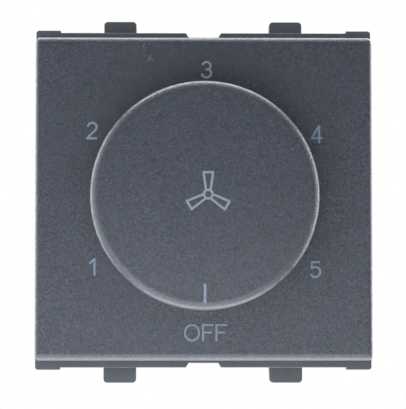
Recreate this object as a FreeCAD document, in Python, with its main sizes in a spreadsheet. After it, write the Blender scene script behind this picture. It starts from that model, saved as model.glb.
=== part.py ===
"""Two-module step regulator for a ceiling fan, in millimetres.

The origin is in the middle of the face that seats on the mounting grid. X runs to the right as a user
sees the plate, Y runs back into the wall box, and Z is up. The knob stands at OFF, its pointer down.
"""
import FreeCAD
import Part
import math
import os
import types

import Sketcher
from FreeCAD import Placement, Rotation, Vector

# Driving sizes
SIZES = {
    # Grid module and the box behind the grid
    "module_pitch": 22.5,
    "box_width": 42.0,
    "box_height": 39.2,
    "box_wall": 1.5,
    "housing_depth": 12.0,
    "cover_depth": 17.6,
    "cover_back": 1.6,
    "box_corner": 1.2,
    "seam_round": 0.25,
    "cover_edge": 0.6,
    # Guide grooves in the housing's sides, and the vents in line with them in the cover's sides
    "guide_width": 1.4,
    "guide_depth": 0.4,
    "guide_pitch": 5.0,
    "guide_inset": 2.0,
    "side_vent_inset": 4.4,
    # Bare recess for a rating label on the back
    "label_width": 27.0,
    "label_inset": 2.2,
    "label_depth": 0.3,
    # Flange that seats on the grid
    "flange_side": 1.45,
    "flange_top": 2.83,
    "flange_corner": 0.4,
    "flange_thickness": 2.2,
    "front_wall": 2.0,
    "block_width": 3.3,
    "block_rise": 0.3,
    "notch_width": 4.0,
    "notch_depth": 0.6,
    "notch_slant": 0.35,
    # Snap latches
    "latch_width": 4.4,
    "latch_reach": 4.95,
    "latch_shoulder": 2.3,
    "latch_land": 1.3,
    "latch_length": 6.7,
    "latch_corner": 0.5,
    "latch_slot": 0.7,
    # Face plate
    "plate_side": -0.1,
    "plate_inset": 0.93,
    "plate_depth": 3.2,
    "plate_front": 1.8,
    "plate_skirt": 1.2,
    "plate_round": 1.0,
    "plate_side_round": 0.55,
    "tongue_width": 4.0,
    "tongue_thickness": 1.2,
    "tongue_spacing": 19.0,
    "tongue_inset": 3.2,
    "tongue_barb": 0.5,
    "tongue_reach": 1.4,
    "tongue_room": 0.2,
    # Knob
    "knob_radius": 14.9,
    "knob_proud": 8.0,
    "knob_gap": 0.4,
    "knob_front": 1.6,
    "knob_skirt": 1.5,
    "knob_edge": 1.2,
    "knob_crown": 0.35,
    "knob_hub_wall": 1.57,
    "knob_hub_gap": 0.4,
    "knob_rib": 1.0,
    "knob_rib_depth": 3.8,
    "grip_wire": 0.8,
    "grip_width": 1.2,
    # Spindle, rotor and bearing
    "spindle_radius": 3.0,
    "spindle_flat": 2.2,
    "running_gap": 0.05,
    "press_gap": 0.03,
    "collar_wall": 1.95,
    "collar_length": 1.6,
    "plate_hole_gap": 0.6,
    "washer_thickness": 0.45,
    "hub_radius": 7.6,
    "hub_web": 0.6,
    "disc_radius": 9.8,
    "disc_thickness": 1.8,
    "lug_radius": 11.6,
    "lug_half_angle": 8.0,
    "pivot_radius": 1.45,
    "peg_radius": 0.5,
    # Detent
    "ball_radius": 1.5,
    "ball_room": 0.1,
    "crest_gap": 0.4,
    "notch_drop": 0.35,
    "notch_room": 0.2,
    "ring_wall": 2.2,
    "pocket_gap": 0.1,
    "pocket_wall": 1.5,
    "stop_half_angle": 20.0,
    "stop_step": 0.4,
    "spring_wire": 0.45,
    "spring_turns": 7.0,
    # Wiper and contacts
    "wiper_sheet": 0.3,
    "wiper_disc": 5.0,
    "wiper_arm": 1.8,
    "contact_circle": 8.0,
    "contact_head": 1.4,
    "contact_rise": 0.6,
    "contact_shank": 0.75,
    "contact_tail": 0.2,
    "common_inner": 2.2,
    "common_outer": 4.0,
    # Circuit board and what it carries
    "board_seat": 9.0,
    "board_thickness": 1.6,
    "board_gap": 0.3,
    "hole_room": 0.1,
    "lead_radius": 0.3,
    "lead_tail": 0.4,
    "case_standoff": 0.3,
    "bleed_radius": 1.2,
    "bleed_length": 6.4,
    "surge_radius": 2.0,
    "surge_length": 10.0,
    # Posts, columns and screws
    "post_inset_x": 2.5,
    "post_inset_z": 2.5,
    "post_radius": 2.6,
    "column_radius": 3.0,
    "screw_radius": 1.1,
    "screw_head": 2.0,
    "screw_head_height": 1.4,
    "screw_cross": 1.3,
    "screw_cross_width": 0.5,
    "screw_reach": 6.0,
    "screw_spare": 1.0,
    "screw_seat": 5.0,
    "screw_room": 0.1,
    "lip_wall": 0.8,
    "lip_gap": 0.1,
    "lip_length": 1.35,
    "vent_width": 1.2,
    "vent_length": 10.0,
    "vent_pitch": 3.6,
    "vent_inset": 4.0,
    # Terminals
    "block_half": 12.0,
    "block_top": 10.9,
    "block_front": 0.2,
    "block_gap": 0.15,
    "block_lip": 1.0,
    "block_head_room": 3.0,
    "block_web": 1.0,
    "chamber_half": 3.2,
    "chamber_floor": 1.9,
    "chamber_roof": 0.3,
    "block_recess": 0.2,
    "pole_pitch": 12.0,
    "wire_radius": 1.8,
    "cage_gap": 0.1,
    "cage_setback": 2.6,
    "screw_float": 0.25,
    "cage_wall": 1.0,
    "cage_side": 0.9,
    "cage_thread_wall": 1.6,
    "cage_height": 4.5,
    "bar_thickness": 1.0,
    "bar_width": 4.0,
    "clamp_radius": 1.45,
    "clamp_room": 0.08,
    "clamp_head": 2.6,
    "clamp_head_height": 2.4,
    "clamp_access": 2.2,
    "clamp_slot": 0.6,
}

doc = FreeCAD.newDocument("fan_speed_switch")
sheet = doc.addObject("Spreadsheet::Sheet", "sizes")
for row, (alias, number) in enumerate(SIZES.items(), start=1):
    sheet.set(f"A{row}", alias)
    sheet.set(f"B{row}", str(number))
    sheet.setAlias(f"B{row}", alias)
doc.recompute()


class Size:
    """A length that carries both its number and the formula on the sheet that gives it."""

    def __init__(self, value, text):
        self.value = value
        self.text = text

    def __add__(self, other):
        other = as_size(other)
        return Size(self.value + other.value, f"({self.text} + {other.text})")

    def __sub__(self, other):
        other = as_size(other)
        return Size(self.value - other.value, f"({self.text} - {other.text})")

    def __mul__(self, number):
        return Size(self.value * number, f"({self.text} * {number!r})")

    def __truediv__(self, number):
        return Size(self.value / number, f"({self.text} / {number!r})")

    def __neg__(self):
        return Size(-self.value, f"(0 - {self.text})")

    def __radd__(self, other):
        return as_size(other) + self

    def __rsub__(self, other):
        return as_size(other) - self

    __rmul__ = __mul__


def as_size(value):
    """Gives a plain number the same form as a size from the sheet."""
    return value if isinstance(value, Size) else Size(float(value), f"({float(value)!r})")


def bind(feature, property_name, length):
    """Ties a property to the sheet, or sets it where the length is a plain number."""
    feature.setExpression(property_name, as_size(length).text)


size = types.SimpleNamespace(**{alias: Size(number, f"sizes.{alias}") for alias, number in SIZES.items()})
parts = []

# Sketch planes: the origin plane's role, and which way its normal points along its own axis
PLANES = {"front": ("XZ_Plane", -1), "top": ("XY_Plane", 1), "side": ("YZ_Plane", 1)}


def outline(points, arcs=None):
    """A closed line through the points. arcs gives, for a side, the radius and centre of its arc."""
    corners = [(as_size(a), as_size(b)) for a, b in points]
    arcs = arcs or {}

    def draw(sketch):
        sides = []
        for index, (here, there) in enumerate(zip(corners, corners[1:] + corners[:1])):
            start = Vector(here[0].value, here[1].value, 0)
            end = Vector(there[0].value, there[1].value, 0)
            if index in arcs:
                radius, centre, far = arcs[index]
                middle = Vector(as_size(centre[0]).value, as_size(centre[1]).value, 0)
                towards = ((start + end) * 0.5 - middle).normalize() * (-1 if far else 1)
                side = Part.Arc(start, middle + towards * as_size(radius).value, end)
            else:
                side = Part.LineSegment(start, end)
            number = sketch.addGeometry(side, False)
            first = 1 if sketch.getPoint(number, 1).distanceToPoint(start) < 1e-6 else 2
            sides.append((number, first))
        for index, (number, first) in enumerate(sides):
            before, before_first = sides[index - 1]
            sketch.addConstraint(Sketcher.Constraint("Coincident", before, 3 - before_first, number, first))
            pin(sketch, number, first, *corners[index])
            if index in arcs:
                limit(sketch, Sketcher.Constraint("Radius", number, as_size(arcs[index][0]).value),
                      arcs[index][0])

    return draw


def rectangle(left, right, low, high):
    return outline([(left, low), (right, low), (right, high), (left, high)])


def circle(across, up, radius):
    """A full circle about a point of the sketch plane."""
    across, up, radius = as_size(across), as_size(up), as_size(radius)

    def draw(sketch):
        round_line = Part.Circle(Vector(across.value, up.value, 0), Vector(0, 0, 1), radius.value)
        number = sketch.addGeometry(round_line, False)
        pin(sketch, number, 3, across, up)
        limit(sketch, Sketcher.Constraint("Radius", number, radius.value), radius)

    return draw


def pin(sketch, number, point, across, up):
    """Holds a point of the sketch at its two distances from the origin."""
    limit(sketch, Sketcher.Constraint("DistanceX", -1, 1, number, point, across.value), across)
    limit(sketch, Sketcher.Constraint("DistanceY", -1, 1, number, point, up.value), up)


def limit(sketch, constraint, length):
    bind(sketch, f"Constraints[{sketch.addConstraint(constraint)}]", length)


def arc_radius(half_width, rise):
    """Radius of an arc that rises by so much over half of its chord."""
    value = (half_width.value ** 2 + rise.value ** 2) / (2 * rise.value)
    across, up = half_width.text, rise.text
    return Size(value, f"(({across} * {across} + {up} * {up}) / (2 * {up}))")


def mirrored(corner_points):
    """Repeats the points of the upper right quarter in the other three quarters, in order."""
    right_up = list(corner_points)
    right_down = [(x, -z) for x, z in reversed(right_up)]
    left_down = [(-x, -z) for x, z in right_up]
    left_up = [(-x, z) for x, z in reversed(right_up)]
    return outline(right_up + right_down + left_down + left_up)


class Piece:
    """One moulded, turned or pressed piece, built as a body from sketches."""

    def __init__(self, label):
        self.label = label
        self.body = doc.addObject("PartDesign::Body", label)
        self.body.Label = label
        parts.append(self.body)

    def role(self, name):
        return next(item for item in self.body.Origin.OriginFeatures if item.Role == name)

    def sketch(self, plane, offset, drawings):
        role, _ = PLANES[plane]
        sketch = self.body.newObject("Sketcher::SketchObject", f"{self.label}_outline")
        sketch.AttachmentSupport = [(self.role(role), "")]
        sketch.MapMode = "FlatFace"
        bind(sketch, "AttachmentOffset.Base.z", offset)
        for draw in drawings:
            draw(sketch)
        return sketch

    def volume(self):
        doc.recompute()
        return self.body.Shape.Volume if self.body.Tip else 0.0

    def finish_feature(self, feature, before, grows):
        change = self.volume() - before
        if change * (1 if grows else -1) <= 0:
            raise RuntimeError(f"{self.label}: {feature.Name} changed the volume by {change}")
        return feature

    def pad(self, plane, low, high, *drawings):
        """Adds the outlines from low to high along the plane's axis."""
        before = self.volume()
        towards_low = PLANES[plane][1] < 0
        feature_sketch = self.sketch(plane, -as_size(high) if towards_low else low, drawings)
        feature = self.body.newObject("PartDesign::Pad", f"{self.label}_pad")
        feature.Profile = feature_sketch
        bind(feature, "Length", as_size(high) - low)
        return self.finish_feature(feature, before, True)

    def pocket(self, plane, low, high, *drawings):
        """Cuts the outlines from low to high along the plane's axis."""
        before = self.volume()
        from_low = PLANES[plane][1] < 0
        feature_sketch = self.sketch(plane, -as_size(low) if from_low else high, drawings)
        feature = self.body.newObject("PartDesign::Pocket", f"{self.label}_pocket")
        feature.Profile = feature_sketch
        bind(feature, "Length", as_size(high) - low)
        return self.finish_feature(feature, before, False)

    def turn(self, points, arcs=None):
        """Adds a turned form about the Y axis from a section of (y, radius) points."""
        before = self.volume()
        section = self.sketch("side", 0, [outline(points, arcs)])
        feature = self.body.newObject("PartDesign::Revolution", f"{self.label}_turning")
        feature.Profile = section
        feature.ReferenceAxis = (section, ["H_Axis"])
        feature.Angle = 360
        return self.finish_feature(feature, before, True)

    def repeat(self, feature, count):
        """Repeats a feature round the Y axis."""
        before = self.volume()
        pattern = self.body.newObject("PartDesign::PolarPattern", f"{self.label}_pattern")
        pattern.Originals = [feature]
        pattern.Axis = (self.role("Y_Axis"), [""])
        pattern.Angle = 360
        pattern.Occurrences = count
        self.body.Tip = pattern
        change = self.volume() - before
        if not change:
            raise RuntimeError(f"{self.label}: {pattern.Name} changed nothing")
        return pattern

    def round_edges(self, radius, choose):
        """Rounds the edges that the choice picks out."""
        self.volume()
        base = self.body.Tip
        names = [f"Edge{i}" for i, edge in enumerate(base.Shape.Edges, start=1) if choose(edge)]
        feature = self.body.newObject("PartDesign::Fillet", f"{self.label}_round")
        feature.Base = (base, names)
        bind(feature, "Radius", radius)
        self.volume()
        return feature


def lies_at(edge, axis, value, tolerance=1e-4):
    """Says whether the whole edge lies at one value of an axis."""
    box = edge.BoundBox
    low, high = {"x": (box.XMin, box.XMax), "y": (box.YMin, box.YMax), "z": (box.ZMin, box.ZMax)}[axis]
    return abs(low - value) < tolerance and abs(high - value) < tolerance


def box_corner(edge):
    """Says whether an edge is one of the four outer corners that run back along the box."""
    box = edge.BoundBox
    upright = max(box.XLength, box.ZLength) < 1e-4
    return upright and abs(abs(box.XMin) - box_x.value) < 1e-4 and abs(abs(box.ZMin) - box_z.value) < 1e-4


def box_rim(level):
    """A choice of the outer edges that run round the box at one level along Y."""
    def choose(edge):
        box = edge.BoundBox
        reach_x = max(abs(box.XMin), abs(box.XMax))
        reach_z = max(abs(box.ZMin), abs(box.ZMax))
        corner = SIZES["box_corner"]
        along_side = box.XLength < 1e-4 and abs(reach_x - box_x.value) < 1e-4
        along_top = box.ZLength < 1e-4 and abs(reach_z - box_z.value) < 1e-4
        round_corner = (abs(box.XLength - corner) < 1e-3 and abs(box.ZLength - corner) < 1e-3
                        and abs(reach_x - box_x.value) < 1e-3 and abs(reach_z - box_z.value) < 1e-3)
        return lies_at(edge, "y", level.value) and (along_side or along_top or round_corner)
    return choose


def solid(kind, name, lengths, corner, turned=None):
    """A plain solid with its sizes and its place tied to the sheet."""
    feature = doc.addObject(f"Part::{kind}", name)
    for property_name, length in lengths.items():
        bind(feature, property_name, length)
    if turned:
        feature.Placement = Placement(Vector(), turned)
    for axis, place in zip("xyz", corner):
        bind(feature, f"Placement.Base.{axis}", place)
    return feature


def block(name, x, y, z):
    """A block between the two ends given for each axis."""
    lengths = {"Length": as_size(x[1]) - x[0], "Width": as_size(y[1]) - y[0], "Height": as_size(z[1]) - z[0]}
    return solid("Box", name, lengths, (x[0], y[0], z[0]))


ALONG = {"x": Rotation(Vector(0, 1, 0), 90), "y": Rotation(Vector(1, 0, 0), -90), "z": Rotation()}


def rod(name, axis, low, high, radius, first, second):
    """A round rod along an axis from low to high. first and second place it on the other two axes."""
    place = {"x": (low, first, second), "y": (first, low, second), "z": (first, second, low)}[axis]
    lengths = {"Radius": radius, "Height": as_size(high) - low}
    return solid("Cylinder", name, lengths, place, ALONG[axis])


def ball(name, centre, radius):
    return solid("Sphere", name, {"Radius": radius}, centre)


def joined(name, shapes):
    feature = doc.addObject("Part::MultiFuse", name)
    feature.Shapes = shapes
    feature.Refine = True
    return feature


def cut(name, base, tools):
    """Takes one or more tools away from a base."""
    feature = doc.addObject("Part::Cut", name)
    feature.Base = base
    feature.Tool = tools[0] if len(tools) == 1 else joined(f"{name}_tools", tools)
    return feature


def keep(feature, label):
    """Makes a finished feature one of the parts that are written out."""
    feature.Label = label
    parts.append(feature)


def polar(angle_from_off, radius):
    """A place on the dial. 0 is OFF at the bottom, and angles run clockwise as a user sees the dial."""
    angle = math.radians(angle_from_off)
    return (-as_size(radius) * math.sin(angle), -as_size(radius) * math.cos(angle))


# Levels along Y, from the knob's face to the back of the terminals
flange_front = -size.flange_thickness
wall_rear = flange_front + size.front_wall
plate_face = flange_front - size.plate_depth
plate_rear_of_front = plate_face + size.plate_front
knob_face = plate_face - size.knob_proud
knob_shoulder = knob_face + size.knob_crown
knob_rim = plate_face - size.knob_gap
knob_inside = knob_face + size.knob_front
collar_front = flange_front - size.collar_length
knob_hub_end = collar_front - size.knob_hub_gap
washer_rear = wall_rear + size.running_gap + size.washer_thickness
hub_front = washer_rear + 2 * size.running_gap
ball_level = hub_front + size.hub_web + size.ball_radius
hub_rear = ball_level + size.ball_radius + size.hub_web
disc_rear = hub_rear + size.disc_thickness
board_front = size.board_seat
board_rear = board_front + size.board_thickness
contact_level = board_front - size.contact_rise
housing_rear = size.housing_depth
cover_rear = housing_rear + size.cover_depth
cover_inside = cover_rear - size.cover_back

# Box walls, and the posts and columns in its corners
box_x = size.box_width / 2
box_z = size.box_height / 2
inside_x = box_x - size.box_wall
inside_z = box_z - size.box_wall
post_x = inside_x - size.post_inset_x
post_z = inside_z - size.post_inset_z
corners = [(side_x * post_x, side_z * post_z) for side_x in (-1, 1) for side_z in (-1, 1)]
flange_x = box_x + size.flange_side
flange_z = box_z + size.flange_top
plate_x = flange_x + size.plate_side
plate_z = flange_z - size.plate_inset
tongue_z = box_z - size.tongue_inset
tongues = [(side * size.tongue_spacing / 2, up) for side in (-1, 1) for up in (-1, 1)]

# Detent circles
bore_radius = size.spindle_radius + size.running_gap
collar_radius = bore_radius + size.collar_wall
crest_radius = size.hub_radius + size.crest_gap
ball_rest = crest_radius - size.ball_radius - size.running_gap
notch_radius = size.ball_radius + size.notch_room
notch_circle = ball_rest + size.notch_drop
ring_radius = crest_radius + size.ring_wall
pocket_radius = ring_radius + size.pocket_gap
ball_bore = size.ball_radius + size.ball_room
STEP_ANGLE = 60
STEPS = 5
STOP_ANGLE = 330

VENTS_EACH_SIDE = 3
GUIDES_EACH_SIDE = 2

# Terminal levels and places
block_floor = -box_z + size.lip_gap
chamber_low = block_floor + size.chamber_floor
chamber_high = -size.block_top - size.chamber_roof
block_rear = cover_rear - size.block_recess
head_bore_rear = block_rear - size.block_lip
head_bore_front = head_bore_rear - size.block_head_room
chamber_rear = head_bore_front - size.block_web
cage_low = chamber_low + size.cage_gap * 2
screw_z = cage_low + size.cage_height / 2
cage_front = board_rear + size.block_front + size.cage_setback
wire_y = cage_front + size.cage_wall + size.wire_radius
bar_y = wire_y + size.wire_radius
screw_tip = bar_y + size.bar_thickness + size.running_gap
cage_window = (cage_front + size.cage_wall, screw_tip + size.screw_float)
POLES = {"line": -1, "fan": 1}


def sector(inner, outer, from_angle, to_angle):
    """A piece of a ring between two dial angles."""
    points = [polar(from_angle, inner), polar(from_angle, outer),
              polar(to_angle, outer), polar(to_angle, inner)]
    centre = (0, 0)
    return outline(points, {1: (outer, centre, False), 3: (inner, centre, False)})


def flat_round(radius, flat):
    """A circle with one flat across its top."""
    half = math.sqrt(as_size(radius).value ** 2 - as_size(flat).value ** 2)
    share = half / as_size(radius).value
    return outline([(radius * share, flat), (-radius * share, flat)], {1: (radius, (0, 0), True)})


def make_front_housing():
    """Carrier with flange, bearing collar, detent pocket, posts, snap latches and guide grooves."""
    piece = Piece("front_housing")
    notch_half = size.notch_width / 2
    notch_floor = flange_z - size.notch_depth
    block_inner = flange_x - size.block_width
    quarter = [(notch_half, notch_floor), (notch_half + size.notch_slant, flange_z), (block_inner, flange_z),
               (block_inner, flange_z + size.block_rise), (flange_x, flange_z + size.block_rise)]
    piece.pad("front", flange_front, 0, mirrored(quarter))
    walls = rectangle(-box_x, box_x, -box_z, box_z)
    piece.pad("front", flange_front, housing_rear, walls)
    hollow = rectangle(-inside_x, inside_x, -inside_z, inside_z)
    piece.pocket("front", wall_rear, housing_rear, hollow)
    # Bearing collar and the round pocket that holds the detent ring
    piece.pad("front", collar_front, flange_front, circle(0, 0, collar_radius))
    piece.pocket("front", collar_front, wall_rear, circle(0, 0, bore_radius))
    pocket_outer = pocket_radius + size.pocket_wall
    pocket_rear = hub_rear - size.stop_step
    piece.pad("front", wall_rear, pocket_rear, circle(0, 0, pocket_outer), circle(0, 0, pocket_radius))
    stop = sector(pocket_radius, pocket_outer + size.stop_step, STOP_ANGLE - SIZES["stop_half_angle"],
                  STOP_ANGLE + SIZES["stop_half_angle"])
    piece.pad("front", wall_rear, disc_rear + size.stop_step / 2, stop)
    # Board posts with blind pilot holes
    for x, z in corners:
        piece.pad("front", wall_rear, board_front, circle(x, z, size.post_radius))
        pilot = circle(x, z, size.screw_radius + size.running_gap)
        piece.pocket("front", board_front - size.screw_reach - size.screw_spare, board_front, pilot)
    # Windows that the face plate's tongues snap through
    for x, up in tongues:
        low = tongue_z - size.tongue_thickness / 2 - 2 * size.tongue_room
        high = tongue_z + size.tongue_thickness / 2 + size.tongue_room
        ends = (up * low, up * high) if up > 0 else (up * high, up * low)
        half = size.tongue_width / 2 + size.tongue_room
        piece.pocket("front", flange_front, wall_rear, rectangle(x - half, x + half, *ends))
    # Latches: a slot on three sides leaves each hook on a springy arm
    arm_rear = size.latch_shoulder + size.latch_length
    tip = box_z + size.latch_reach
    for side in (-1, 1):
        middle = side * size.module_pitch / 2
        half = size.latch_width / 2
        outer = half + size.latch_slot
        slot = [(middle - outer, size.latch_shoulder - 2 * size.latch_slot),
                (middle + outer, size.latch_shoulder - 2 * size.latch_slot),
                (middle + outer, arm_rear + size.latch_slot), (middle + half, arm_rear + size.latch_slot),
                (middle + half, size.latch_shoulder), (middle - half, size.latch_shoulder),
                (middle - half, arm_rear + size.latch_slot), (middle - outer, arm_rear + size.latch_slot)]
        for up in (-1, 1):
            low, high = sorted((up * inside_z, up * box_z), key=lambda length: length.value)
            piece.pocket("top", low, high, outline(slot))
            corner = size.latch_corner
            root = up * (box_z - size.box_wall / 2)
            shoulder = up * (tip - corner)
            head = [(middle - half, root), (middle + half, root), (middle + half, shoulder),
                    (middle + half - corner, up * tip), (middle - half + corner, up * tip),
                    (middle - half, shoulder)]
            rounds = {2: (corner, (middle + half - corner, shoulder), False),
                      4: (corner, (middle - half + corner, shoulder), False)}
            piece.pad("front", size.latch_shoulder, arm_rear, outline(head, rounds))
            ramp = [(size.latch_shoulder + size.latch_land, up * tip), (arm_rear, up * box_z),
                    (arm_rear, up * tip)]
            piece.pocket("side", middle - half, middle + half, outline(ramp))
    piece.round_edges(size.flange_corner, flange_corner)
    piece.round_edges(size.box_corner, box_corner)
    piece.round_edges(size.seam_round, box_rim(housing_rear))
    for side, low, high in guides():
        groove = sorted((side * (box_x - size.guide_depth), side * box_x), key=lambda length: length.value)
        piece.pocket("front", size.guide_inset, housing_rear - size.guide_inset,
                     rectangle(*groove, low, high))
    return piece


def flange_corner(edge):
    """Says whether an edge is an outer corner of the flange's corner blocks."""
    box = edge.BoundBox
    upright = max(box.XLength, box.ZLength) < 1e-4
    at_side = abs(abs(box.XMin) - flange_x.value) < 1e-4
    return upright and at_side and abs(abs(box.ZMin) - (flange_z + size.block_rise).value) < 1e-4


def guides():
    """Side, low end and high end of each guide groove. The cover's side vents are in line with them."""
    places = []
    for side in (-1, 1):
        for index in range(-GUIDES_EACH_SIDE, GUIDES_EACH_SIDE + 1):
            middle = size.guide_pitch * index
            places.append((side, middle - size.guide_width / 2, middle + size.guide_width / 2))
    return places


def make_rear_cover():
    """Back shell with a lip, screw columns, vents, a bare label recess and the terminal window."""
    piece = Piece("rear_cover")
    piece.pad("front", housing_rear, cover_rear, rectangle(-box_x, box_x, -box_z, box_z))
    hollow = rectangle(-inside_x, inside_x, -inside_z, inside_z)
    piece.pocket("front", housing_rear, cover_inside, hollow)
    lip_x = inside_x - size.lip_gap
    lip_z = inside_z - size.lip_gap
    lip_hole = rectangle(-lip_x + size.lip_wall, lip_x - size.lip_wall, -lip_z + size.lip_wall,
                         lip_z - size.lip_wall)
    root = rectangle(-box_x + size.lip_gap, box_x - size.lip_gap, -box_z + size.lip_gap, box_z - size.lip_gap)
    piece.pad("front", housing_rear, housing_rear + size.lip_length, root, lip_hole)
    lip_front = board_rear + size.running_gap
    piece.pad("front", lip_front, housing_rear, rectangle(-lip_x, lip_x, -lip_z, lip_z), lip_hole)
    seat = housing_rear + size.screw_seat
    for x, z in corners:
        piece.pad("front", lip_front, cover_inside, circle(x, z, size.post_inset_x - size.lip_gap))
        piece.pad("front", housing_rear, cover_inside, circle(x, z, size.column_radius))
        # Each column runs solid into its corner, which leaves no sealed hollow behind it
        across = sorted((x, (1 if x.value > 0 else -1) * inside_x), key=lambda length: length.value)
        upward = sorted((z, (1 if z.value > 0 else -1) * inside_z), key=lambda length: length.value)
        piece.pad("front", housing_rear, cover_inside, rectangle(*across, *upward))
        piece.pocket("front", seat, cover_rear, circle(x, z, size.screw_head + 4 * size.screw_room))
        piece.pocket("front", lip_front, seat, circle(x, z, size.screw_radius + size.screw_room))
    window_x = size.block_half + size.block_gap
    window = rectangle(-window_x, window_x, -box_z, -size.block_top + size.block_gap)
    piece.pocket("front", lip_front, cover_rear, window)
    for index in range(-VENTS_EACH_SIDE, VENTS_EACH_SIDE + 1):
        middle = size.vent_pitch * index
        half = size.vent_width / 2
        top = inside_z - size.vent_inset
        piece.pocket("front", cover_inside, cover_rear,
                     rectangle(middle - half, middle + half, top - size.vent_length, top))
    piece.round_edges(size.box_corner, box_corner)
    piece.round_edges(size.cover_edge, box_rim(cover_rear))
    piece.round_edges(size.seam_round, box_rim(housing_rear))
    for side, low, high in guides():
        wall = sorted((side * inside_x, side * box_x), key=lambda length: length.value)
        piece.pocket("front", housing_rear + size.side_vent_inset, cover_rear - size.side_vent_inset,
                     rectangle(*wall, low, high))
    label_top = inside_z - size.vent_inset - size.vent_length - size.label_inset
    label_low = -size.block_top + size.block_gap + size.label_inset
    label = rectangle(-size.label_width / 2, size.label_width / 2, label_low, label_top)
    piece.pocket("front", cover_rear - size.label_depth, cover_rear, label)
    return piece


def make_cover_screws():
    """Four self-tapping screws that hold the rear cover to the posts."""
    seat = housing_rear + size.screw_seat
    recess_depth = size.screw_head_height / 2
    recess_half = size.screw_cross
    recess_wide = size.screw_cross_width / 2
    screws = []
    for index, (x, z) in enumerate(corners, start=1):
        name = f"cover_screw_{index}"
        shank = rod(f"{name}_shank", "y", board_front - size.screw_reach, seat, size.screw_radius, x, z)
        head = rod(f"{name}_head", "y", seat, seat + size.screw_head_height, size.screw_head, x, z)
        depth = (seat + size.screw_head_height - recess_depth, seat + size.screw_head_height)
        slots = [block(f"{name}_slot_a", (x - recess_half, x + recess_half), depth,
                       (z - recess_wide, z + recess_wide)),
                 block(f"{name}_slot_b", (x - recess_wide, x + recess_wide), depth,
                       (z - recess_half, z + recess_half))]
        screws.append(cut(name, joined(f"{name}_blank", [shank, head]), slots))
    keep(joined("cover_screw_set", screws), "cover_screws")


def make_face_plate():
    """Painted plate with a skirt, rounded top and bottom edges and four snap tongues."""
    piece = Piece("face_plate")
    piece.pad("front", plate_face, flange_front, rectangle(-plate_x, plate_x, -plate_z, plate_z))
    piece.round_edges(size.plate_round, lambda edge: lies_at(edge, "y", plate_face.value)
                      and abs(edge.BoundBox.ZMin - edge.BoundBox.ZMax) < 1e-4)
    front_of_round = plate_face.value + SIZES["plate_round"]
    piece.round_edges(size.plate_side_round, lambda edge: edge.BoundBox.YMax < front_of_round + 1e-4
                      and (lies_at(edge, "x", plate_x.value) or lies_at(edge, "x", -plate_x.value)))
    skirt_x = plate_x - size.plate_skirt
    skirt_z = plate_z - size.plate_skirt
    piece.pocket("front", plate_rear_of_front, flange_front, rectangle(-skirt_x, skirt_x, -skirt_z, skirt_z))
    hole = circle(0, 0, collar_radius + size.plate_hole_gap)
    piece.pocket("front", plate_face, plate_rear_of_front, hole)
    for x, up in tongues:
        half = size.tongue_width / 2
        inner = up * (tongue_z - size.tongue_thickness / 2)
        outer = up * (tongue_z + size.tongue_thickness / 2)
        barb_start = wall_rear + size.running_gap
        tongue = [(plate_rear_of_front, inner), (wall_rear + size.tongue_reach, inner),
                  (wall_rear + size.tongue_reach, outer), (barb_start, outer + up * size.tongue_barb),
                  (barb_start, outer), (plate_rear_of_front, outer)]
        piece.pad("side", x - half, x + half, outline(tongue))
    return piece


def make_dial_knob():
    """Painted cup with a crowned face, a central hub, a D-shaped socket for the spindle and six ribs."""
    piece = Piece("dial_knob")
    socket = size.spindle_radius + size.press_gap
    hub = socket + size.knob_hub_wall
    inner = size.knob_radius - size.knob_skirt
    crown = arc_radius(size.knob_radius, size.knob_crown)
    piece.turn([(knob_face, 0), (knob_shoulder, size.knob_radius), (knob_rim, size.knob_radius),
                (knob_rim, inner), (knob_inside, inner), (knob_inside, hub), (knob_hub_end, hub),
                (knob_hub_end, 0)], {0: (crown, (knob_face + crown, 0), False)})
    piece.round_edges(size.knob_edge, lambda edge: lies_at(edge, "y", knob_shoulder.value)
                      and edge.BoundBox.XMax > SIZES["knob_radius"] - 1e-3)
    rib_half = size.knob_rib / 2
    rib = rectangle(hub - size.knob_rib / 4, inner + size.knob_rib / 4, -rib_half, rib_half)
    rib_rear = knob_inside + size.knob_rib_depth
    piece.repeat(piece.pad("front", knob_inside, rib_rear, rib), 6)
    piece.pocket("front", knob_inside + size.knob_front / 2, knob_hub_end,
                 flat_round(socket, size.spindle_flat + size.press_gap))
    ring = doc.addObject("Part::Cut", "grip_ring")
    ring_front = rib_rear + size.knob_gap / 2
    ring_rear = ring_front + size.grip_width
    ring.Base = rod("grip_ring_outer", "y", ring_front, ring_rear, hub + size.grip_wire, 0, 0)
    ring.Tool = rod("grip_ring_inner", "y", ring_front, ring_rear, hub, 0, 0)
    gap = size.grip_width / 2
    split = block("grip_ring_gap", (-gap, gap), (ring_front, ring_rear), (0, hub + 2 * size.grip_wire))
    keep(cut("split_grip_ring", ring, [split]), "knob_grip_ring")


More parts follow.
